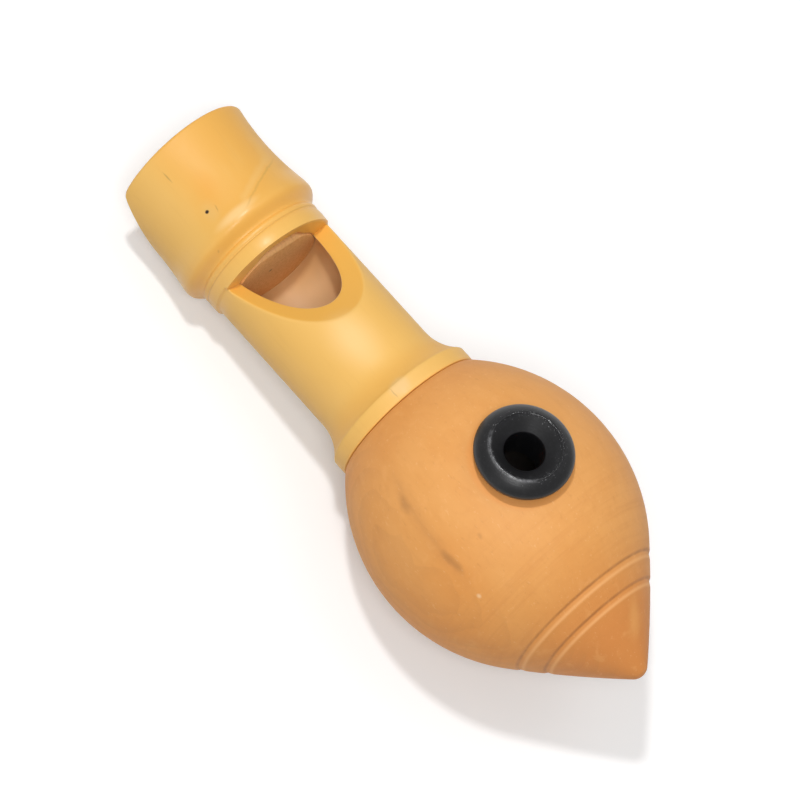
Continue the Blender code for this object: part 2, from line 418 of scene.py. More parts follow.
def end_x(angle, r):
    """The mouth end and the beak under it, as the station where the wood starts."""
    over = (BEAK_LIP - r * np.cos(angle)) / BEAK_SLOPE - END_AT
    return END_AT + 0.5 * (over + np.sqrt(over**2 + BEAK_BLEND**2))


def off_edge(x, angle, far_x, far_angle, radius, distance):
    """The share of each column that lies within a distance of the ramp's edge."""
    along = np.stack([np.gradient(x), radius * np.gradient(angle)])
    along /= np.linalg.norm(along, axis=0)
    column = np.stack([far_x - x, radius * (far_angle - angle)])
    return distance / np.abs(along[0] * column[1] - along[1] * column[0])


def head_profile():
    """(station, radius) points from the barrel's start over the band back to the ridge."""
    points = [(BARREL_AT - before, BARREL_R + rise) for before, rise in BAND_STEP]
    for t in np.linspace(1.0, 0.0, 9):
        points.append((blend(BAND_AT, BAND_END, t), BAND_R + BAND_CROWN * math.sin(math.pi * t)))
    points += [(BAND_AT - before, BAND_R - drop) for before, drop in BAND_LINE]
    for k in range(11):
        t = 1 - k / 10
        height = BEAD_HEIGHT * math.sin(math.pi * t) ** BEAD_POWER
        points.append((BEAD_AT + BEAD_WIDTH * t, COVE_R + height))
    points.append((BEAD_AT - BEAD_FOOT[0], COVE_R - BEAD_FOOT[1]))
    for k in range(19):
        t = 1 - k / 18
        drop = (1 - math.cos(math.pi * t**COVE_POWER)) / 2
        points.append((blend(RIDGE_AT, COVE_AT, t), blend(RIDGE_R, COVE_R, drop)))
    return points


def body_profile():
    """(station, radius) points from the flare over the collar to the end of the spigot."""
    rise = FLARE_R - BARREL_R
    run = COLLAR_AT - FLARE_AT
    arc_r = (run**2 + rise**2) / (2 * rise)
    arc_end = math.pi - math.asin(run / arc_r)
    points = arc((FLARE_AT, BARREL_R + arc_r), arc_r, math.pi, arc_end, 14)[1:]
    points += [(COLLAR_AT + behind, COLLAR_R - drop) for behind, drop in COLLAR_FRONT]
    points += [(x, COLLAR_R) for x in np.linspace(*COLLAR_FLAT, 4)]
    points += [(FACE_AT - before, COLLAR_R - drop) for before, drop in COLLAR_BACK]
    points += [(FACE_AT, r) for r in np.linspace(COLLAR_R - COLLAR_EDGE, SPIGOT_R, 6)]
    points += [(x, SPIGOT_R) for x in np.linspace(FACE_AT, SPIGOT_END - SPIGOT_EDGE, 5)[1:]]
    points += [(SPIGOT_END - before, SPIGOT_R - drop) for before, drop in SPIGOT_OUTER]
    points += [(SPIGOT_END - before, BORE_R + over) for before, over in SPIGOT_INNER]
    return points


class Pipe:
    """Rows of the pipe's points, in columns that follow the window's edge and are even elsewhere."""

    def __init__(self):
        self.out_x, self.out_angle, out_run = ramp_edge(BARREL_R)
        self.in_x, self.in_angle = ramp_edge(BORE_R)[:2]
        wide = len(self.out_x)
        half = math.pi * (wide - 1) / PIPE_COLUMNS
        self.window = slice(0, wide)
        self.even = around(np.linspace(-half, half, wide), half, math.tau - half)
        self.fade = around(smooth(out_run / CORNER_FADE), 0.0, 0.0)
        self.cut_r = blend(BARREL_R, BAND_R, self.fade)

    def head(self):
        """From the cut along the outside to the mouth end, and along the bore to the cut again."""
        even = self.even
        edge_angle = around_angle(self.out_angle)
        bore_angle = around_angle(self.in_angle)
        rows = [place(WINDOW_AT - CUT_EDGE * self.fade, self.cut_r, edge_angle)]
        for x, r in head_profile():
            step_r = np.maximum(r, self.cut_r) if x > BAND_END else r
            share = smooth((WINDOW_AT - x) / (WINDOW_AT - RIDGE_AT))
            rows.append(place(x, step_r, blend(edge_angle, even, share)))
        start = np.zeros(PIPE_COLUMNS)
        for _ in range(START_ROUNDS):
            start = end_x(even, mouthpiece_r(start))
        for t in np.linspace(0.0, 1.0, 23)[1:]:
            x = blend(RIDGE_AT, start + MOUTH_EDGE, t)
            rows.append(place(x, mouthpiece_r(x), even))
        rim = mouthpiece_r(start)
        inner = rim - MOUTH_EDGE
        rows += rounded(rows[-1], place(start, rim, even), place(end_x(even, inner), inner, even), 7)
        slot_r = windway_r(even)
        for t in np.linspace(0.0, 1.0, 7):
            r = blend(inner, slot_r + BORE_EDGE, t)
            rows.append(place(end_x(even, r), r, even))
        lip = end_x(even, slot_r)
        rows += rounded(rows[-1], place(lip, slot_r, even), place(lip + BORE_EDGE, slot_r, even), 3)
        for t in np.linspace(0.0, 1.0, 11):
            x = blend(lip + BORE_EDGE, WINDOW_AT - INNER_EDGE * self.fade, t)
            angle = blend(even, bore_angle, smooth(t))
            rows.append(place(x, windway_r(angle), angle))
        return rows

    def body(self):
        """From the ramp along the outside to the spigot, and along the bore to the ramp again."""
        out = np.linspace(0.0, 1.0, 23)
        back = np.linspace(1.0, 0.0, 19)
        rows = self.from_ramp(self.out_x, self.out_angle, BARREL_R, FLARE_AT, RAMP_EDGE, out)
        rows += [place(x, r, self.even) for x, r in body_profile()]
        bore_end = SPIGOT_END - SPIGOT_EDGE
        return rows + self.from_ramp(self.in_x, self.in_angle, BORE_R, bore_end, INNER_EDGE, back)

    def from_ramp(self, x, angle, radius, far, edge, shares):
        """Rows on a cylinder, at shares of the way from the ramp's rounded edge to a far station."""
        window = self.window
        skip = np.zeros(PIPE_COLUMNS)
        skip[window] = off_edge(x, angle, far, self.even[window], radius, edge * self.fade[window])
        start_x = around(x, WINDOW_AT, WINDOW_AT)
        start_angle = around_angle(angle)
        rows = []
        for t in shares:
            share = blend(skip, 1.0, t)
            rows.append(place(blend(start_x, far, share), radius, blend(start_angle, self.even, share)))
        return rows

    def wall(self, outer, inner, edge, rows, on_ramp):
        """A wall of the window between the first and the last of some rows, with rounded edges."""
        first = rows[0][self.window]
        last = rows[-1][self.window]
        fade = self.fade[self.window]
        depth = np.linalg.norm(inner - outer, axis=1)
        top = (edge * fade / depth)[:, None]
        low = 1 - (INNER_EDGE * fade / depth)[:, None]
        faces = [blend(outer, inner, blend(top, low, t)) for t in np.linspace(0.0, 1.0, WALL_ROWS)]
        for points in faces:
            points[on_ramp, 2] = ramp_z(points[on_ramp, 0]) + scoop(points[on_ramp, 1])
        made = [first] + rounded(first, outer, faces[0], EDGE_ROWS) + faces
        return made + rounded(faces[-1], inner, last, EDGE_ROWS) + [last]


def around_angle(angle):
    """Adds the angles beyond the window, from its last corner on to its first."""
    return around(angle, angle[-1], math.tau + angle[0])


def build_pipe():
    pipe = Pipe()
    head = pipe.head()
    body = pipe.body()

    # Only the corners of the straight cut lie on the ramp
    outer = place(WINDOW_AT, pipe.cut_r[pipe.window], pipe.out_angle)
    inner = place(WINDOW_AT, windway_r(pipe.in_angle), pipe.in_angle)
    cut = pipe.wall(outer, inner, CUT_EDGE, head, [0, -1])
    outer = place(pipe.out_x, BARREL_R, pipe.out_angle)
    inner = place(pipe.in_x, BORE_R, pipe.in_angle)
    ramp = pipe.wall(outer, inner, RAMP_EDGE, body, slice(None))

    sheets = Sheets()
    sheets.add(lean(head))
    sheets.add(lean(body))
    sheets.add(lean(cut), wrap=False)
    sheets.add(lean(ramp), wrap=False)
    return sheets.piece("pipe_wood")


# Block


def build_block():
    """A round plug with a flat on top, a chamfer at the window, and the beak's slope under its front."""
    flat_at = math.acos(BLOCK_TOP / BLOCK_R)
    lip_at = math.acos(BEAK_LIP / BLOCK_R)
    turn = np.concatenate([np.linspace(flat_at, lip_at, 12)[:-1], np.linspace(lip_at, math.pi, 40)])
    turn = np.concatenate([turn, math.tau - turn[-2::-1]])
    y = BLOCK_R * np.sin(turn)
    z = BLOCK_R * np.cos(turn)
    front = np.maximum(END_AT, (BEAK_LIP - z) / BEAK_SLOPE)
    rings = [(front, z), (np.full_like(z, BLOCK_END - BLOCK_CHAMFER), z)]
    rings.append((np.full_like(z, BLOCK_END), np.minimum(z, BLOCK_TOP - BLOCK_CHAMFER)))
    bm = bmesh.new()
    rows = [[bm.verts.new(p) for p in lean(np.stack([x, y, high], axis=-1))] for x, high in rings]
    for row, after in zip(rows, rows[1:]):
        for k in range(len(row)):
            n = (k + 1) % len(row)
            bm.faces.new((row[k], row[n], after[n], after[k]))
    bm.faces.new(rows[-1])
    bm.faces.new([v for v in rows[0] if v.co.z >= BEAK_LIP - TINY])
    bm.faces.new([v for v in rows[0] if v.co.z <= BEAK_LIP + TINY])
    bmesh.ops.recalc_face_normals(bm, faces=bm.faces)
    edges = [e for e in bm.edges if e.calc_face_angle() > BLOCK_EDGE_ANGLE]
    bmesh.ops.bevel(bm, geom=edges, offset=BLOCK_EDGE, segments=3, profile=0.5, affect="EDGES")
    mesh = bpy.data.meshes.new("block_wood")
    bm.to_mesh(mesh)
    bm.free()
    return settle("block_wood", mesh)


# Bulb

BULB_COLUMNS = 180
SEAT_COLUMNS = 128


def tail_r(x):
    slope = math.sin(TAIL_ANGLE) + (x - TAIL_AT) / TAIL_ARC_R
    return TAIL_R + TAIL_ARC_R * (math.sqrt(1 - slope**2) - math.cos(TAIL_ANGLE))


def groove_depth(x):
    """How far the two grooves sink the surface: steep on the bulb's side, a chamfer on the tip's."""
    sunk = 0.0
    for groove in GROOVES:
        off = x - TAIL_AT - groove
        if -GROOVE_STEEP < off <= 0:
            sunk += GROOVE_DEPTH * smooth(1 + off / GROOVE_STEEP)
        elif 0 < off < GROOVE_CHAMFER:
            sunk += GROOVE_DEPTH * (1 - off / GROOVE_CHAMFER) ** GROOVE_POWER
    return sunk


def bulb_profile():
    """(station, radius) points from the chamber's end through the socket and round to the tip."""
    centre = (BULB_AT, -BULB_ARC_DROP)
    chamber_r = BULB_ARC_R - BULB_WALL
    chamber_end = math.acos(BULB_ARC_DROP / chamber_r)
    chamber_start = math.asin((SOCKET_END - BULB_AT) / chamber_r)
    points = arc(centre, chamber_r, chamber_end, chamber_start, 26)
    points[0] = (points[0][0], 0.0)
    points += [(SOCKET_END, r) for r in np.linspace(LEDGE_R, SOCKET_R, 3)]
    points += [(x, SOCKET_R) for x in np.linspace(SOCKET_END, BULB_FACE_AT + SOCKET_EDGE, 6)[1:]]
    points += [(BULB_FACE_AT + behind, r) for behind, r in BULB_FACE]
    front = math.asin((BULB_FACE_AT + BULB_EDGE - BULB_AT) / BULB_ARC_R)
    points += arc(centre, BULB_ARC_R, front, TAIL_ANGLE, 64)
    nose_angle = math.acos((TAIL_ARC_R * math.cos(TAIL_ANGLE) - TAIL_R) / (TAIL_ARC_R - NOSE_R))
    nose_at = TAIL_AT + TAIL_ARC_R * (math.sin(nose_angle) - math.sin(TAIL_ANGLE))
    stations = []
    for groove in GROOVES:
        stations += list(TAIL_AT + groove + GROOVE_STEEP * np.linspace(-1.3, 0.0, 11))
        stations += list(TAIL_AT + groove + GROOVE_CHAMFER * np.linspace(0.0, 1.25, 14)[1:])
    stations += list(np.linspace(TAIL_AT + TAIL_START, nose_at, 26)[:-1])
    stations = [x for x in sorted(stations) if TAIL_AT < x < nose_at]
    points += [(x, tail_r(x) - groove_depth(x)) for x in stations]
    points += arc((nose_at - NOSE_R * math.sin(nose_angle), 0.0), NOSE_R, nose_angle, math.pi / 2, 10)
    points[-1] = (points[-1][0], 0.0)
    return points


def seat_cutter():
    """The flat seat and the hole that take the bush, turned about z."""
    profile = [(0.0, 0.0), (0.0, SEAT_HOLE_R), (SEAT_Z, SEAT_HOLE_R)]
    profile += [(SEAT_Z, SEAT_R), (SEAT_CUT_Z, SEAT_R), (SEAT_CUT_Z, 0.0)]
    sheets = Sheets()
    sheets.add([about_z(z, r, turns(SEAT_COLUMNS)) for z, r in profile])
    return sheets.piece("seat_cutter")


def build_bulb():
    sheets = Sheets()
    sheets.add([place(x, r, turns(BULB_COLUMNS)) for x, r in bulb_profile()])
    bulb = sheets.piece("bulb_wood")
    cutter = seat_cutter()
    boolean = bulb.modifiers.new("seat", "BOOLEAN")
    boolean.solver = "EXACT"
    boolean.object = cutter
    bpy.context.view_layer.update()
    evaluated = bulb.evaluated_get(bpy.context.evaluated_depsgraph_get())
    bulb.data = bpy.data.meshes.new_from_object(evaluated)
    bulb.modifiers.clear()
    bpy.data.objects.remove(cutter)
    shade_mesh(bulb.data)
    return bulb


# Bush

BUSH_COLUMNS = 144


def bush_profile():
    """(height, radius) of the bush, from its hole round its flange to its spigot."""
    dish_z = FLANGE_TOP - DISH_DEPTH
    points = [(z, HOLE_R) for z in np.linspace(BUSH_END_Z, dish_z - HOLE_EDGE, 6)]
    points.append((dish_z - HOLE_EDGE_MIDDLE[0], HOLE_R + HOLE_EDGE_MIDDLE[1]))
    dish_low = Vector((dish_z, HOLE_R + HOLE_FLARE))
    rim = Vector((FLANGE_TOP, RIM_R))
    rim_in = rim + (dish_low - rim).normalized() * RIM_EDGE
    for k in range(15):
        points.append(tuple(dish_low.lerp(rim_in, k / 14)))
    shoulder = Vector((FLANGE_TOP - RIM_SLOPE * (FLANGE_R - RIM_R), FLANGE_R))
    rim_out = rim + (shoulder - rim).normalized() * RIM_EDGE
    points += [tuple(p) for p in rounded(rim_in, rim, rim_out, 5)]
    points.append(tuple(rim_out))
    widest = Vector((FLANGE_WIDEST_Z, FLANGE_R))
    points += [tuple(p) for p in rounded(rim_out, shoulder, widest, 18)]
    for k in range(11):
        turn = math.pi / 2 * k / 10
        r = FLANGE_BASE_R + (FLANGE_R - FLANGE_BASE_R) * math.cos(turn) ** 2
        points.append((FLANGE_WIDEST_Z - (FLANGE_WIDEST_Z - FLANGE_Z) * math.sin(turn), r))
    points += [(FLANGE_Z, r) for r in np.linspace(FLANGE_BASE_R, BUSH_SPIGOT_R, 4)[1:]]
    points += [(z, BUSH_SPIGOT_R) for z in np.linspace(FLANGE_Z, BUSH_END_Z, 5)[1:]]
    points.append((BUSH_END_Z, HOLE_R))
    return points


def build_bush():
    sheets = Sheets()
    sheets.add([about_z(z, r, turns(BUSH_COLUMNS)) for z, r in bush_profile()])
    return sheets.piece("bush_plastic")


# Node helpers


class Look:
    """A procedural material whose patterns read the whistle's own axes, in millimetres."""

    def __init__(self, name):
        self.material = bpy.data.materials.new(name)
        self.material.use_nodes = True
        self.tree = self.material.node_tree
        self.shader = self.tree.nodes["Principled BSDF"]
        self.colour = None
        metres = self.node("ShaderNodeTexCoord").outputs["Object"]
        axes = {"Vector": metres, "Location": AXES.to_translation(), "Rotation": AXES.to_euler()}
        axes["Scale"] = (1 / MM, 1 / MM, 1 / MM)
        self.mm = self.node("ShaderNodeMapping", axes, vector_type="TEXTURE").outputs[0]

    def node(self, kind, inputs=None, **settings):
        made = self.tree.nodes.new(kind)
        for key, value in settings.items():
            setattr(made, key, value)
        for key, value in (inputs or {}).items():
            self.feed(made.inputs[key], value)
        return made

    def feed(self, socket, value):
        if isinstance(value, bpy.types.NodeSocket):
            self.tree.links.new(value, socket)
        else:
            socket.default_value = value

    def vector(self, operation, a, b=None, scale=None):
        inputs = {0: a}
        if b is not None:
            inputs[1] = b
        if scale is not None:
            inputs["Scale"] = scale
        made = self.node("ShaderNodeVectorMath", inputs, operation=operation)
        return made.outputs["Value" if operation == "LENGTH" else "Vector"]

    def math(self, operation, a, b=None, c=None):
        inputs = {k: v for k, v in enumerate((a, b, c)) if v is not None}
        return self.node("ShaderNodeMath", inputs, operation=operation).outputs[0]

    def parts(self, vector):
        return self.node("ShaderNodeSeparateXYZ", {0: vector}).outputs

    def noise(self, vector, scale, detail=2.0, roughness=0.5, distortion=0.0, output="Fac"):
        inputs = {"Vector": vector, "Scale": scale, "Detail": detail, "Roughness": roughness}
        inputs["Distortion"] = distortion
        return self.node("ShaderNodeTexNoise", inputs).outputs[output]

    def level(self, value, low, high, start=0.0, end=1.0, kind="SMOOTHSTEP"):
        """Maps low..high of a value to start..end, and holds it beyond."""
        inputs = {"Value": value, "From Min": low, "From Max": high, "To Min": start, "To Max": end}
        return self.node("ShaderNodeMapRange", inputs, interpolation_type=kind).outputs["Result"]

    def mix(self, share, a, b):
        made = self.node("ShaderNodeMix", data_type="RGBA")
        self.feed(made.inputs["Factor"], share)
        for name, value in (("A", a), ("B", b)):
            socket = next(s for s in made.inputs if s.name == name and s.type == "RGBA")
            self.feed(socket, value if isinstance(value, bpy.types.NodeSocket) else (*value, 1.0))
        return next(s for s in made.outputs if s.type == "RGBA")

    def times(self, a, b):
        return self.math("MULTIPLY", a, b)

    def stretch(self, *scale):
        """The axes, scaled so that a pattern stretches along those with a small number."""
        return self.vector("MULTIPLY", self.mm, scale)

    def bent(self, scale, detail, reach):
        """The axes, shifted by a noise that reaches half as far to each side."""
        wobble = self.vector("SCALE", self.noise(self.mm, scale, detail, output="Color"), scale=reach)
        return self.vector("ADD", self.mm, self.vector("SUBTRACT", wobble, (reach / 2,) * 3))

    def cover(self, share, colour):
        """Lays a colour over the base colour, as far as a share says."""
        self.colour = self.mix(share, self.colour, colour)

    def tint(self, value, low, high, share, colour):
        """Lays a colour on, from nothing where a value is at low to a share where it is at high."""
        self.cover(self.level(value, low, high, 0.0, share), colour)

    def wash(self, mask, share, colour):
        """Lays a share of a colour on where a mask is 1."""
        self.cover(self.times(mask, share), colour)

    def mark(self, at, size, turn=(0.0, 0.0, 0.0), vector=None):
        """A soft spot about a point: 1 there and 0 at its half size, both in millimetres."""
        inputs = {"Location": at, "Rotation": turn, "Scale": size}
        inputs["Vector"] = self.mm if vector is None else vector
        moved = self.node("ShaderNodeMapping", inputs, vector_type="TEXTURE").outputs[0]
        return self.node("ShaderNodeTexGradient", {0: moved}, gradient_type="SPHERICAL").outputs["Fac"]

    def radius(self):
        """The distance from the whistle's axis."""
        return self.vector("LENGTH", self.stretch(0.0, 1.0, 1.0))

    def off_bush(self):
        """The distance from the bush's axis."""
        off = self.vector("SUBTRACT", self.mm, (BUSH_AT * MM, 0.0, 0.0))
        return self.vector("LENGTH", self.vector("MULTIPLY", off, (1.0, 1.0, 0.0)))

    def near(self, value, middle, reach):
        """1 where a value is at the middle, and 0 where it is a reach away."""
        return self.level(self.math("ABSOLUTE", self.math("SUBTRACT", value, middle)), reach, 0.0)

    def bump(self, height, distance, strength):
        inputs = {"Height": height, "Distance": distance, "Strength": strength}
        return self.node("ShaderNodeBump", inputs).outputs[0]

    def finish(self, **inputs):
        for key, value in {"Base_Color": self.colour, **inputs}.items():
            self.feed(self.shader.inputs[key.replace("_", " ")], value)
        return self.material


# Materials


def boxwood():
    """The pipe's pale, oiled wood, with its marks."""
    look = Look("boxwood")
    x, y, _ = look.parts(look.mm)
    radius = look.radius()
    fibre_space = look.stretch(0.06, 1.0, 1.0)
    fibre = look.noise(fibre_space, 1.6, 6.0, 0.62)
    cloud = look.noise(look.stretch(0.45, 1.0, 1.0), 0.16, 3.0, 0.5)

    # Deeper on the handled mouthpiece and paler on the barrel; painted light makes the mouthpiece's
    # shaded side paler
    look.colour = look.mix(look.level(x, 12.0, 22.0), (0.87, 0.455, 0.092), (0.89, 0.520, 0.132))
    pale = look.times(look.level(y, -4.0, -8.5), look.level(x, 16.0, 13.0))
    look.wash(pale, 0.75, (0.88, 0.530, 0.140))
    look.tint(cloud, 0.40, 0.70, 0.55, (0.89, 0.530, 0.150))
    look.tint(fibre, 0.52, 0.80, 0.20, (0.74, 0.400, 0.100))

    # Oil is deeper in the hollows of the cove and the flare, and the cove's darker orange is partly
    # painted shade
    cove = look.times(look.level(x, 14.6, 15.4), look.level(x, 17.2, 16.9))
    flare = look.times(look.level(x, 40.5, 43.6), look.level(x, 45.0, 44.8))
    oil_and_painted_shade = look.math("MAXIMUM", cove, flare)
    look.wash(oil_and_painted_shade, 0.40, (0.86, 0.425, 0.072))

    # Fresh cut in the window; raw wood in the bore, darker next to the block as painted shade
    inside = look.times(look.level(x, 19.80, 19.88), look.level(x, 34.5, 34.0))
    inside = look.times(inside, look.level(radius, 8.98, 8.75))
    look.wash(inside, 0.85, (0.90, 0.470, 0.080))
    bore_wood_and_shade = look.mix(look.level(x, 20.9, 24.5), (0.74, 0.435, 0.190), (0.82, 0.520, 0.265))
    look.tint(radius, 6.78, 6.68, 1.0, bore_wood_and_shade)

    # Painted highlights along the ridge and on top of the barrel
    painted_light_and_dirt = look.mark((13.95, -3.4, 10.1), (1.0, 4.8, 3.5))
    look.tint(painted_light_and_dirt, 0.0, 0.8, 0.75, (0.97, 0.640, 0.270))
    painted_barrel_sheen = look.mark((36.4, -2.2, 8.6), (6.0, 4.6, 4.0))
    look.tint(painted_barrel_sheen, 0.0, 0.9, 0.70, (0.95, 0.620, 0.240))

    # Marks: a pin knot with its chip and halo, a hairline, a fleck, a blush, and a dark swirl line with
    # a paler band beside it
    bent = look.bent(0.9, 2.0, 0.5)
    knot = look.mark((11.11, -5.61, 8.66), (0.44, 0.44, 0.6))
    chip = look.mark((11.65, -4.55, 9.30), (0.85, 0.18, 0.6), (0.0, 0.0, -0.35), bent)
    halo = look.mark((11.6, -5.3, 8.8), (2.6, 1.7, 1.7), vector=bent)
    hair = look.mark((3.90, -6.26, 7.99), (1.55, 0.15, 0.5), (0.0, 0.0, 0.05))
    fleck = look.mark((16.00, -7.38, 6.98), (0.42, 0.30, 0.6), vector=bent)
    blush = look.mark((8.6, -3.6, 9.4), (4.2, 2.2, 2.5), (0.0, 0.0, -0.3), bent)
    slant = look.math("MULTIPLY_ADD", look.parts(bent)[1], 0.48, look.parts(bent)[0])
    run = look.times(look.level(y, -2.4, -0.8), look.level(y, 8.0, 5.0))
    swirl = look.times(look.near(slant, 13.35, 0.30), run)
    beside = look.times(look.near(slant, 12.45, 0.95), run)
    look.tint(blush, 0.0, 1.0, 0.50, (0.88, 0.410, 0.062))
    look.tint(halo, 0.0, 1.0, 0.45, (0.80, 0.510, 0.170))
    look.wash(beside, 0.40, (0.90, 0.560, 0.190))
    look.wash(swirl, 0.34, (0.56, 0.330, 0.085))
    look.tint(hair, 0.1, 0.8, 0.55, (0.36, 0.200, 0.060))
    look.tint(fleck, 0.1, 0.8, 0.60, (0.40, 0.190, 0.050))
    look.tint(chip, 0.1, 0.8, 0.34, (0.34, 0.180, 0.050))
    look.tint(knot, 0.25, 0.65, 1.0, (0.035, 0.018, 0.010))

    # A greyish patch with a chipped edge on the collar
    patch = look.mark((45.6, -2.8, 10.6), (1.7, 1.9, 1.6), vector=bent)
    line = look.mark((45.9, -3.9, 10.2), (1.3, 0.16, 0.8), vector=bent)
    look.tint(patch, 0.0, 0.6, 0.60, (0.84, 0.560, 0.240))
    look.tint(line, 0.1, 0.8, 0.45, (0.46, 0.270, 0.090))

    # Darker in the turned line between bead and band
    line = look.near(x, 17.68, 0.16)
    look.wash(line, 0.34, (0.50, 0.250, 0.050))

    grain = look.noise(fibre_space, 6.0, 5.0, 0.65)
    handled = look.times(look.level(x, 10.5, 13.5), look.level(x, 22.0, 20.0))
    polish = look.level(handled, 0.0, 1.0, 0.50, 0.34)
    roughness = look.math("ADD", polish, look.level(grain, 0.3, 0.7, -0.05, 0.05, "LINEAR"))
    normal = look.bump(grain, 0.00003, 0.30)
    return look.finish(Roughness=roughness, Normal=normal, Specular_IOR_Level=0.4)


def block_wood():
    """The plug's plain wood, with a dark speck on its face in the window."""
    look = Look("block_wood")
    fibre_space = look.stretch(0.07, 1.0, 1.0)
    fibre = look.noise(fibre_space, 3.0, 5.0, 0.6)
    look.colour = look.mix(look.level(fibre, 0.35, 0.7), (0.90, 0.500, 0.195), (0.78, 0.410, 0.150))
    speck = look.mark((BLOCK_END * MM, -0.9, 0.6), (0.8, 0.50, 0.50))
    look.tint(speck, 0.2, 0.8, 0.6, (0.14, 0.060, 0.025))
    roughness = look.level(fibre, 0.3, 0.7, 0.5, 0.62, "LINEAR")
    normal = look.bump(fibre, 0.00003, 0.5)
    return look.finish(Roughness=roughness, Normal=normal)


def fruitwood():
    """The bulb's orange-brown wood, with its figure, streak and grooves."""
    look = Look("fruitwood")
    x, y, z = look.parts(look.mm)
    turn = look.math("ARCTAN2", y, z)
    fibre_space = look.stretch(0.05, 1.0, 1.0)
    fibre = look.noise(fibre_space, 1.5, 6.0, 0.62)
    cloud = look.noise(look.stretch(0.5, 1.0, 1.0), 0.13, 4.0, 0.55)
    look.colour = look.mix(look.level(cloud, 0.34, 0.66), (0.81, 0.355, 0.088), (0.84, 0.390, 0.108))
    look.tint(fibre, 0.50, 0.80, 0.22, (0.68, 0.280, 0.068))
    look.tint(x, 76.0, 88.0, 0.85, (0.72, 0.255, 0.056))
    look.tint(y, 2.0, 13.0, 0.45, (0.88, 0.425, 0.130))
    # Painted shade: darker next to the collar, and deeper and redder on the shaded side towards the tip
    look.tint(x, 55.0, 48.5, 0.30, (0.74, 0.290, 0.068))
    shaded = look.times(look.level(y, -9.0, -15.0), look.level(x, 62.0, 72.0, 0.0, 0.45))
    look.cover(shaded, (0.80, 0.300, 0.055))

    # Mottled figure and faint growth rings, cut in ovals on the side towards the viewer
    mottle = look.noise(look.stretch(0.8, 1.0, 1.0), 0.55, 4.0, 0.6, 0.6)
    look.tint(mottle, 0.52, 0.74, 0.20, (0.70, 0.285, 0.066))
    look.tint(mottle, 0.46, 0.26, 0.30, (0.90, 0.450, 0.150))
    wobble = look.vector("SCALE", look.noise(look.mm, 0.12, 2.0, output="Color"), scale=4.5)
    from_heart = look.vector("ADD", look.vector("ADD", look.mm, wobble), (-66.0, 24.0, -11.0))
    across = look.vector("MULTIPLY", from_heart, (0.22, 1.0, 1.0))
    ring = look.math("FRACT", look.times(look.vector("LENGTH", across), 0.55))
    late = look.times(look.level(ring, 0.30, 0.95), look.level(ring, 1.0, 0.96))
    low_side = look.level(turn, -0.85, -1.10)
    seen = look.times(late, look.level(low_side, 0.0, 1.0, 0.02, 0.13))
    look.cover(seen, (0.56, 0.220, 0.055))

    # Dark and pale flecks along the grain, and lathe marks towards the tip
    dashes = look.noise(look.stretch(0.9, 2.4, 2.4), 1.0, 2.0, 0.5)
    look.tint(dashes, 0.64, 0.76, 0.18, (0.56, 0.220, 0.055))
    light = look.noise(look.stretch(1.0, 2.0, 2.0), 1.5, 2.0, 0.5)
    look.tint(light, 0.64, 0.76, 0.34, (0.94, 0.560, 0.250))
    lathe_space = look.node("ShaderNodeCombineXYZ", {0: x, 1: look.times(turn, 0.8)}).outputs[0]
    lathe = look.noise(lathe_space, 1.05, 6.0, 0.68)
    worn = look.times(look.level(lathe, 0.44, 0.68), look.level(x, 64.0, 77.0, 0.0, 0.34))
    look.cover(worn, (0.70, 0.268, 0.062))

    # Dark streak along the grain, with its blots
    bent = look.bent(0.45, 3.0, 1.2)
    drift = look.times(look.math("SUBTRACT", look.noise(look.mm, 0.5, 3.0), 0.5), 0.05)
    along = look.math("ADD", look.math("MULTIPLY_ADD", x, -0.0056, -0.528), drift)
    reach = look.times(look.level(x, 52.0, 58.0), look.level(x, 72.0, 67.0))
    broken = look.level(look.noise(fibre_space, 2.2, 3.0, 0.6), 0.30, 0.62, 0.35, 1.0)
    off = look.math("ABSOLUTE", look.math("SUBTRACT", turn, along))
    shade = look.times(look.level(off, 0.100, 0.0, 0.0, 0.24), reach)
    streak = look.times(look.times(look.level(off, 0.036, 0.0), reach), broken)
    look.cover(shade, (0.56, 0.230, 0.060))
    look.wash(streak, 0.08, (0.38, 0.155, 0.045))
    for at, size in (((58.4, -13.3, 10.9), 1.1), ((67.0, -13.9, 11.2), 0.8), ((68.6, -13.8, 10.9), 0.9)):
        blot = look.mark(at, (2.1 * size, 0.85 * size, 1.1 * size), vector=bent)
        look.tint(blot, 0.0, 1.0, 0.36, (0.30, 0.120, 0.036))

    # A pale fleck, a dark smudge and a pale streak on the tip
    pale = look.mark((73.13, -13.45, 9.30), (0.55, 0.40, 0.5))
    look.tint(pale, 0.1, 0.8, 0.75, (0.95, 0.620, 0.330))
    smudge = look.mark((68.15, -10.03, 14.57), (0.80, 0.50, 0.7), vector=bent)
    look.tint(smudge, 0.1, 0.9, 0.30, (0.46, 0.180, 0.050))
    ray = look.mark((86.8, 2.0, 5.8), (4.6, 1.5, 3.2), (0.0, 0.0, -0.55), bent)
    look.tint(ray, 0.0, 0.9, 0.60, (0.86, 0.400, 0.110))

    # Painted shade: a redder ring round the bush, where its shadow falls on the bulb
    painted_shadow_by_bush = look.level(look.off_bush(), 7.3, 6.4)
    look.wash(painted_shadow_by_bush, 0.60, (0.88, 0.330, 0.060))

    # Dirt and painted shade in the grooves, and painted highlights on the crests beside them
    painted_light_and_dirt = look.level(look.noise(look.mm, 0.35, 3.0, 0.6), 0.35, 0.65, 0.16, 0.42)
    for groove in GROOVES:
        line = look.near(x, (TAIL_AT + groove - 0.25 * GROOVE_STEEP) * MM, 0.24)
        look.wash(line, painted_light_and_dirt, (0.32, 0.100, 0.020))
        crest_highlight = look.near(x, (TAIL_AT + groove + 0.80 * GROOVE_CHAMFER) * MM, 0.34)
        look.wash(crest_highlight, 0.62, (0.95, 0.500, 0.190))
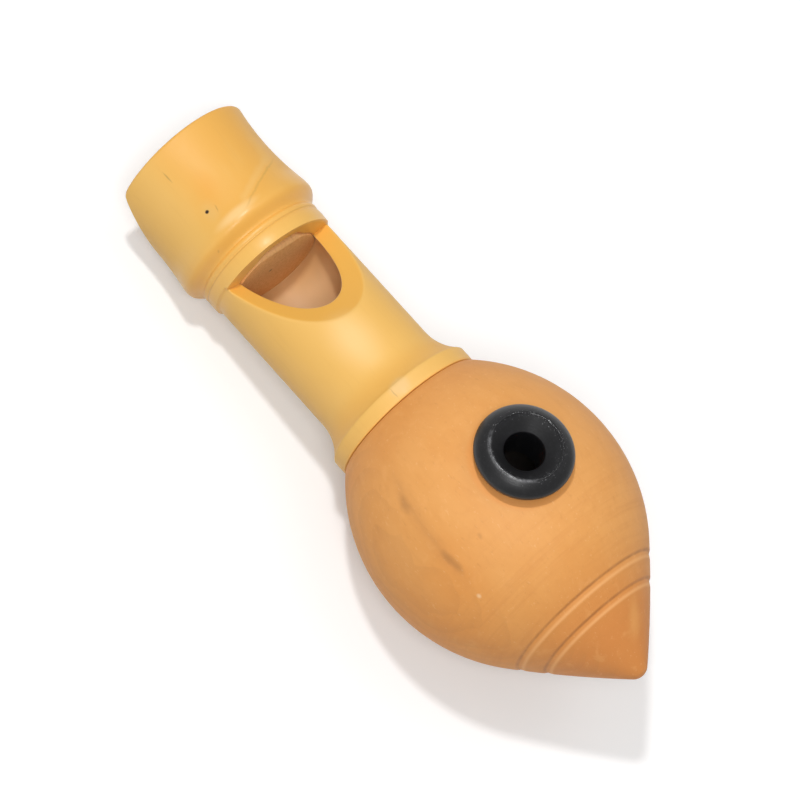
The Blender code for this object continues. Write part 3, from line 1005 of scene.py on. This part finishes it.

    # Painted shade in the chamber: its wall is near black
    along_arc = look.math("SUBTRACT", x, BULB_AT * MM)
    across_arc = look.math("ADD", look.radius(), BULB_ARC_DROP * MM)
    from_arc = look.node("ShaderNodeCombineXYZ", {0: along_arc, 1: across_arc}).outputs[0]
    chamber_r = (BULB_ARC_R - BULB_WALL) * MM
    depth = look.math("SUBTRACT", look.vector("LENGTH", from_arc), chamber_r)
    look.tint(depth, 2.0, 0.5, 1.0, (0.100, 0.085, 0.075))

    grain = look.noise(fibre_space, 5.0, 5.0, 0.65)
    pits = look.times(look.level(dashes, 0.62, 0.74), -0.8)
    roughness = look.level(grain, 0.3, 0.7, 0.54, 0.66, "LINEAR")
    normal = look.bump(look.math("ADD", grain, pits), 0.00004, 0.35)
    return look.finish(Roughness=roughness, Normal=normal, Specular_IOR_Level=0.5)


def black_plastic():
    """The bush's black plastic, dusty and scuffed along the rim, with a painted highlight on it."""
    look = Look("black_plastic")
    radius = look.off_bush()
    height = look.parts(look.mm)[2]
    turned = look.node("ShaderNodeCombineXYZ", {0: radius, 1: height}).outputs[0]
    rings = look.noise(turned, 5.0, 4.0, 0.7)
    scuff = look.noise(look.mm, 1.6, 4.0, 0.7)
    look.colour = look.mix(look.level(scuff, 0.45, 0.75), (0.008, 0.008, 0.009), (0.014, 0.014, 0.016))

    # Dust and scuffs along the rim, and a painted highlight on its side towards -y
    rim = look.near(radius, RIM_R * MM, 1.1)
    dust = look.times(look.level(look.noise(look.mm, 5.0, 1.0, 0.5), 0.69, 0.75), rim)
    worn = look.times(look.level(look.noise(look.mm, 9.0, 3.0, 0.7), 0.52, 0.70), rim)
    look.wash(worn, 0.10, (0.30, 0.30, 0.32))
    look.cover(dust, (0.32, 0.32, 0.33))
    # Painted highlight on the rim's side towards -y, broken up by the scuffs
    facing = look.level(look.parts(look.mm)[1], -1.2, -3.6)
    shine = look.times(look.near(radius, RIM_R * MM + 0.10, 0.40), facing)
    painted_rim_highlight = look.times(shine, look.level(scuff, 0.36, 0.62, 0.15, 0.60))
    look.cover(painted_rim_highlight, (0.22, 0.22, 0.23))
    edge = look.near(radius, RIM_R * MM, 0.45)
    polish = look.level(edge, 0.0, 1.0, 0.36, 0.20)
    roughness = look.math("ADD", polish, look.level(rings, 0.3, 0.7, -0.06, 0.06, "LINEAR"))
    normal = look.bump(look.math("ADD", rings, look.times(worn, 0.6)), 0.00003, 0.5)
    return look.finish(Roughness=roughness, Normal=normal, Specular_IOR_Level=0.50)


# Stage


def floor_paper():
    """Pale paper: the camera and mirrors see it nearly white, and it throws less light on the wood."""
    material = bpy.data.materials.new("floor_paper")
    material.use_nodes = True
    tree = material.node_tree
    shader = tree.nodes["Principled BSDF"]
    shader.inputs["Roughness"].default_value = 1.0
    shader.inputs["Specular IOR Level"].default_value = 0.0
    path = tree.nodes.new("ShaderNodeLightPath")
    seen = path.outputs["Is Camera Ray"]
    for ray in ("Is Glossy Ray", "Is Transmission Ray"):
        either = tree.nodes.new("ShaderNodeMath")
        either.operation = "MAXIMUM"
        tree.links.new(seen, either.inputs[0])
        tree.links.new(path.outputs[ray], either.inputs[1])
        seen = either.outputs[0]
    paper = tree.nodes.new("ShaderNodeMix")
    paper.data_type = "RGBA"
    tree.links.new(seen, paper.inputs["Factor"])
    colours = [socket for socket in paper.inputs if socket.type == "RGBA"]
    colours[0].default_value = (*FLOOR_BOUNCE, 1.0)
    colours[1].default_value = (*FLOOR_PAPER, 1.0)
    mixed = next(socket for socket in paper.outputs if socket.type == "RGBA")
    tree.links.new(mixed, shader.inputs["Base Color"])
    lift = tree.nodes.new("ShaderNodeMath")
    lift.operation = "MULTIPLY"
    lift.inputs[1].default_value = FLOOR_LIFT
    tree.links.new(seen, lift.inputs[0])
    shader.inputs["Emission Color"].default_value = (1.0, 1.0, 1.0, 1.0)
    tree.links.new(lift.outputs[0], shader.inputs["Emission Strength"])
    return material


def build_stage():
    mesh = bpy.data.meshes.new("floor")
    corners = [(x * FLOOR_HALF, y * FLOOR_HALF, 0.0) for x, y in ((-1, -1), (1, -1), (1, 1), (-1, 1))]
    mesh.from_pydata(corners, [], [(0, 1, 2, 3)])
    mesh.materials.append(floor_paper())
    floor = bpy.data.objects.new("floor", mesh)
    bpy.context.scene.collection.objects.link(floor)
    floor.location.z = FLOOR_Z


def area_light(name, at, aim, side, power):
    data = bpy.data.lights.new(name, "AREA")
    data.shape = "SQUARE"
    data.size = side
    data.energy = power
    lamp = bpy.data.objects.new(name, data)
    bpy.context.scene.collection.objects.link(lamp)
    lamp.location = at
    lamp.rotation_euler = (aim - at).to_track_quat("-Z", "Y").to_euler()


def camera_axes():
    """The camera's right, up and back in the model's frame."""
    turn = AXES.to_3x3()
    right = (turn @ CAMERA_RIGHT).normalized()
    up = turn @ CAMERA_UP
    up = (up - right * up.dot(right)).normalized()
    return right, up, right.cross(up)


def build_light():
    scene = bpy.context.scene
    world = bpy.data.worlds.new("studio")
    world.use_nodes = True
    background = world.node_tree.nodes["Background"]
    background.inputs["Color"].default_value = (1.0, 1.0, 1.0, 1.0)
    background.inputs["Strength"].default_value = WORLD_LIGHT
    scene.world = world
    axes = camera_axes()
    for name, right, up, back, side, power in LAMPS:
        way = axes[0] * right + axes[1] * up + axes[2] * back
        area_light(name, LIGHT_AIM + way.normalized() * LIGHT_REACH, LIGHT_AIM, side, power)


def build_camera():
    scene = bpy.context.scene
    data = bpy.data.cameras.new("camera")
    data.lens = CAMERA_LENS
    data.sensor_width = CAMERA_SENSOR
    data.clip_start = CAMERA_CLIP
    camera = bpy.data.objects.new("camera", data)
    scene.collection.objects.link(camera)
    turn = Matrix(camera_axes()).transposed().to_4x4()
    camera.matrix_world = Matrix.Translation(AXES @ CAMERA_AT) @ turn
    scene.camera = camera


PIECES = (
    (build_pipe, boxwood, "whistle_pipe", "boxwood"),
    (build_block, block_wood, "fipple_block", "block_wood"),
    (build_bulb, fruitwood, "resonator_bulb", "fruitwood"),
    (build_bush, black_plastic, "finger_hole_bush", "black_plastic"),
)

for build, look, node, slot in PIECES:
    piece = build()
    piece.data.materials.clear()
    piece.data.materials.append(look())
    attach(piece, "root")
    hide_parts(node)

build_stage()
build_light()
build_camera()
bpy.context.scene.view_settings.view_transform = "Standard"
